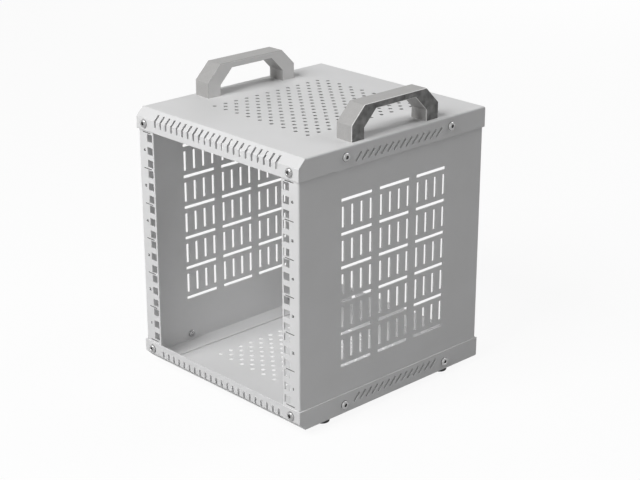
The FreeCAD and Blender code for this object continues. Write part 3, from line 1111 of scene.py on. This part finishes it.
def press_nut():
    """A collar below the seat: its top lies on the panel's inner face."""
    top = -nut_depth
    low = top - NUT_HEIGHT
    profile = [(NUT_BORE, top), (NUT_RADIUS, top), (NUT_RADIUS, low + NUT_EDGE),
               (NUT_RADIUS - NUT_EDGE, low), (NUT_BORE + NUT_EDGE, low), (NUT_BORE, low + NUT_EDGE)]
    return turned("nut", profile, hollow=True)


press_nuts = seated("press_nuts", press_nut(), lip_screw_seats, nut_metal)
print("nuts:", len(press_nuts.data.polygons), "faces")

# %% [markdown]
# The feet are moulded rubber discs stuck under the pan. They taper a little towards the
# desk and have a rounded lower edge, which shows as a soft dark rim in the photograph.

# %% Feet
FOOT_TAPER = 1.0 * MM
FOOT_EDGE = 1.4 * MM
FOOT_SIDES = 40
foot_low, foot_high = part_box(foot_nodes[0])
foot_radius = (foot_high.x - foot_low.x) / 2
foot_height = foot_high.z - foot_low.z


def foot_profile():
    """From the middle of the sole round the lower edge to the top."""
    low = foot_radius - FOOT_TAPER
    edge = [(low - FOOT_EDGE + FOOT_EDGE * math.sin(angle), FOOT_EDGE * (1 - math.cos(angle)))
            for angle in quarter_turn()]
    return edge + [(foot_radius, foot_height)]


foot_seats = []
for node in foot_nodes:
    low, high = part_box(node)
    foot_seats.append((Vector(((low.x + high.x) / 2, (low.y + high.y) / 2, 0.0)), Vector((0, 0, 1))))
feet = seated("rubber_feet", turned("foot", foot_profile(), FOOT_SIDES), foot_seats, foot_rubber, spin=0.0)
print("feet:", len(feet.data.polygons), "faces")

# %% [markdown]
# A handle is a flat bar bent and mitred into a flat-topped bow, with crisp edges that are
# only just broken by a file. It is the same kind of prism as the sheets: a side outline
# drawn out across the bar's width, with one small bevel on every edge but the two feet's.
# That thin bevel matters more than its size: it catches light on a metal edge, and the handle's material adds
# a painted highlight along the outer edges.

# %% Handles
HANDLE_LEG = 19.5 * MM
HANDLE_GRIP = 7.5 * MM
HANDLE_CORNER = 20.0 * MM
HANDLE_INNER_CORNER = 18.5 * MM


def handle_outline(low, high):
    """Side outline (Y, Z) of the bow, from one foot over the grip to the other and back inside."""
    grip_under = high.z - HANDLE_GRIP
    inner_front = low.y + HANDLE_LEG
    inner_rear = high.y - HANDLE_LEG
    return [(low.y, low.z), (low.y, high.z - HANDLE_CORNER), (low.y + HANDLE_CORNER, high.z),
            (high.y - HANDLE_CORNER, high.z), (high.y, high.z - HANDLE_CORNER), (high.y, low.z),
            (inner_rear, low.z), (inner_rear, grip_under - HANDLE_INNER_CORNER),
            (inner_rear - HANDLE_INNER_CORNER, grip_under), (inner_front + HANDLE_INNER_CORNER, grip_under),
            (inner_front, grip_under - HANDLE_INNER_CORNER), (inner_front, low.z)]


def bow_handle(name, node):
    """One handle in the box of its node."""
    low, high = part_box(node)

    def edges(p):
        return 0.0 if near(p.z, low.z) else HANDLE_EDGE

    return prism(name, handle_outline(low, high), low.x, high.x, edges)


right_bow = bow_handle("bow_handle_right", "right_handle")
left_bow = bow_handle("bow_handle_left", "left_handle")
print("handles:", len(right_bow.data.polygons), "faces each")

# %% [markdown]
# Each rail carries printed marks: a thin line at each unit boundary and a small number
# for each unit, so that equipment on both sides lines up. They are built as very thin
# solids on the rail's face, because a print this small would be lost in a texture.

# %% Unit marks
PRINT = 0.06 * MM
TICK_LENGTH = 14.0 * MM
TICK_WIDTH = 1.0 * MM
TICK_CENTRE = 123.2 * MM
NUMBER_HEIGHT = 2.9 * MM
NUMBER_BOLD = 0.22 * MM
NUMBER_CAP_SHARE = 0.7
NUMBER_CURVE_STEPS = 3
NUMBER_STRETCH = 1.8
NUMBER_X = 128.2 * MM
rail_face = -panel_reach
unit_base = shell_middle - UNIT_COUNT * UNIT_PITCH / 2


def ticks():
    """The lines at the unit boundaries of both rails."""
    return pattern("unit_lines", block("stamp", (TICK_LENGTH, PRINT, TICK_WIDTH)), mark_ink,
                   Columns=UNIT_COUNT + 1, Rows=2, Centre=(0, rail_face - PRINT / 2, shell_middle),
                   Column_Step=(0, 0, UNIT_PITCH), Row_Step=(2 * TICK_CENTRE, 0, 0))


def numeral(text, x, z):
    """One printed number standing on the rail, as a mesh with its place applied."""
    curve = bpy.data.curves.new("numeral", "FONT")
    curve.body = text
    curve.size = NUMBER_HEIGHT / NUMBER_CAP_SHARE
    curve.align_x = "CENTER"
    curve.align_y = "CENTER"
    curve.extrude = PRINT / 2
    curve.offset = NUMBER_BOLD
    curve.resolution_u = NUMBER_CURVE_STEPS
    number = link("unit_number_" + text, curve)
    bpy.context.view_layer.update()
    view = bpy.context.evaluated_depsgraph_get()
    mesh = bpy.data.meshes.new_from_object(number.evaluated_get(view))
    discard(number)
    mesh.transform(Matrix.Scale(NUMBER_STRETCH, 4, SIDEWAYS))
    mesh.transform(Matrix.Rotation(math.pi / 2, 4, "X"))
    mesh.transform(Matrix.Translation((x, rail_face - PRINT / 2, z)))
    mesh.materials.clear()
    mesh.materials.append(mark_ink)
    side = "left" if x < 0 else "right"
    return link(f"unit_number_{text}_{side}", mesh)


unit_lines = ticks()
numerals = []
for unit in range(UNIT_COUNT):
    for x in (-NUMBER_X, NUMBER_X):
        height = unit_base + (unit + 0.5) * UNIT_PITCH
        numerals.append(numeral(str(unit + 1), x, height))
print("marks:", len(numerals), "numbers and", len(unit_lines.data.polygons), "line faces")

# %% [markdown]
# Every piece rides on the frame's one body, takes its finish from a material made above,
# and hides the plain nodes that it stands for, so that no surface is shown twice.

# %% Put the pieces on the frame


def fit(piece, slot, material, *nodes):
    """One finished piece: closed, with its material and its body, and with the nodes that it replaces hidden.
    The slot is not used.
    """
    closed(piece.data)
    piece.data.materials.clear()
    piece.data.materials.append(material)
    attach(piece, "root")
    if nodes:
        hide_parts(*nodes)


fit(cover, "cover_metal", sheet_metal, "top_cover")
fit(pan, "cover_metal", sheet_metal, "bottom_pan")
fit(panel, "panel_metal", panel_sheet_metal, "right_side_panel")
fit(left_panel, "panel_metal", panel_sheet_metal, "left_side_panel")
fit(right_bow, "handle_metal", handle_metal, "right_handle")
fit(left_bow, "handle_metal", handle_metal, "left_handle")
fit(lip_screws, "screw_steel", screw_metal, *lip_screw_nodes)
fit(handle_screws, "screw_steel", screw_metal, *handle_screw_nodes)
fit(press_nuts, "nut_steel", nut_metal, *nut_nodes)
fit(feet, "foot_rubber", foot_rubber, *foot_nodes)
fit(unit_lines, "panel_metal", mark_ink)
for number in numerals:
    fit(number, "panel_metal", mark_ink)

# %% [markdown]
# The photograph is a cut-out on white. The floor is pale and catches the rack's shadow,
# and for camera and mirror rays it is mostly a plain white glow, so that it melts into
# the white world behind it. The lamps stay at a level where a colour renders as written.

# %% Floor and world
FLOOR_SIZE = 12.0
FLOOR_COLOUR = 0.9
FLOOR_BOUNCE = 0.5
FLOOR_ROUGHNESS = 0.9
GLOW_SHARE = 0.92


def sees_background(tree):
    """One for camera, glossy and transmission rays, and nought for all others."""
    path = add_node(tree, "ShaderNodeLightPath").outputs
    first = number_math(tree, "MAXIMUM", path["Is Camera Ray"], path["Is Glossy Ray"])
    return number_math(tree, "MAXIMUM", first, path["Is Transmission Ray"])


def floor_material():
    material, tree, shader = new_material("pale floor")
    seen = sees_background(tree)
    tree.links.new(spread(tree, seen, FLOOR_BOUNCE, FLOOR_COLOUR), shader.inputs["Base Color"])
    shader.inputs["Roughness"].default_value = FLOOR_ROUGHNESS
    shader.inputs["Specular IOR Level"].default_value = 0.0
    glow = add_node(tree, "ShaderNodeEmission")
    glow.inputs["Strength"].default_value = 1.0
    mix = add_node(tree, "ShaderNodeMixShader")
    tree.links.new(number_math(tree, "MULTIPLY", seen, GLOW_SHARE), mix.inputs["Fac"])
    tree.links.new(shader.outputs["BSDF"], mix.inputs[1])
    tree.links.new(glow.outputs["Emission"], mix.inputs[2])
    tree.links.new(mix.outputs[0], tree.nodes["Material Output"].inputs["Surface"])
    return material


floor_mesh = bpy.data.meshes.new("floor")
corner = FLOOR_SIZE / 2
corners = [(-corner, -corner, 0), (corner, -corner, 0), (corner, corner, 0), (-corner, corner, 0)]
floor_mesh.from_pydata(corners, [], [(0, 1, 2, 3)])
floor = link("floor", floor_mesh)
floor.data.materials.append(floor_material())

WORLD_LEVEL = 0.03
world = bpy.data.worlds.new("studio")
scene.world = world
world.use_nodes = True
sky = world.node_tree
background = sky.nodes["Background"]
sky.links.new(spread(sky, sees_background(sky), WORLD_LEVEL, 1.0), background.inputs["Strength"])
background.inputs["Color"].default_value = (1.0, 1.0, 1.0, 1.0)
print("floor and world ready")

# %% [markdown]
# A large soft key stands in front, at about forty-five degrees: it lights the front and the
# top alike and reaches the floor of the bay, as in the photograph. The pale floor sends
# some of it back up, which lifts the upright faces more than the slanted edge. The right
# side only gets a weak, low fill, so it stays a middle grey, and a still weaker one from the
# left opens the corners of the bay. A rim lamp high at the back right draws the bright lines
# on folds, handles and screw heads. A low lamp behind keeps the rear from going black, and
# it is hidden from reflections, or the whole top would mirror it. Large lamps give the soft
# shadows of a product shot.

# %% Lamps


def soft_lamp(name, place, size, power, aim=CAMERA_TARGET):
    """A square area lamp aimed at the rack."""
    data = bpy.data.lights.new(name, "AREA")
    data.size = size
    data.energy = power
    lamp = bpy.data.objects.new(name, data)
    lamp.location = place
    lamp.rotation_euler = (Vector(place) - aim).to_track_quat("Z", "Y").to_euler()
    lamp.visible_camera = False
    scene.collection.objects.link(lamp)
    return lamp


soft_lamp("key", (0.0, -2.15, 2.25), size=1.4, power=80.0)
soft_lamp("right_fill", (2.56, -1.48, 0.69), size=2.0, power=10.5)
soft_lamp("left_fill", (-2.09, -2.09, 0.69), size=2.0, power=9.0)
# The bright line along the handles' outer edges is also a painted highlight in their material.
soft_lamp("back_rim", (1.15, 2.0, 2.1), size=1.2, power=18.0)
rear_fill = soft_lamp("rear_fill", (-1.7, 2.5, 0.7), size=2.0, power=34.0)
rear_fill.visible_glossy = False
scene.view_settings.view_transform = "Standard"
print("lamps ready")
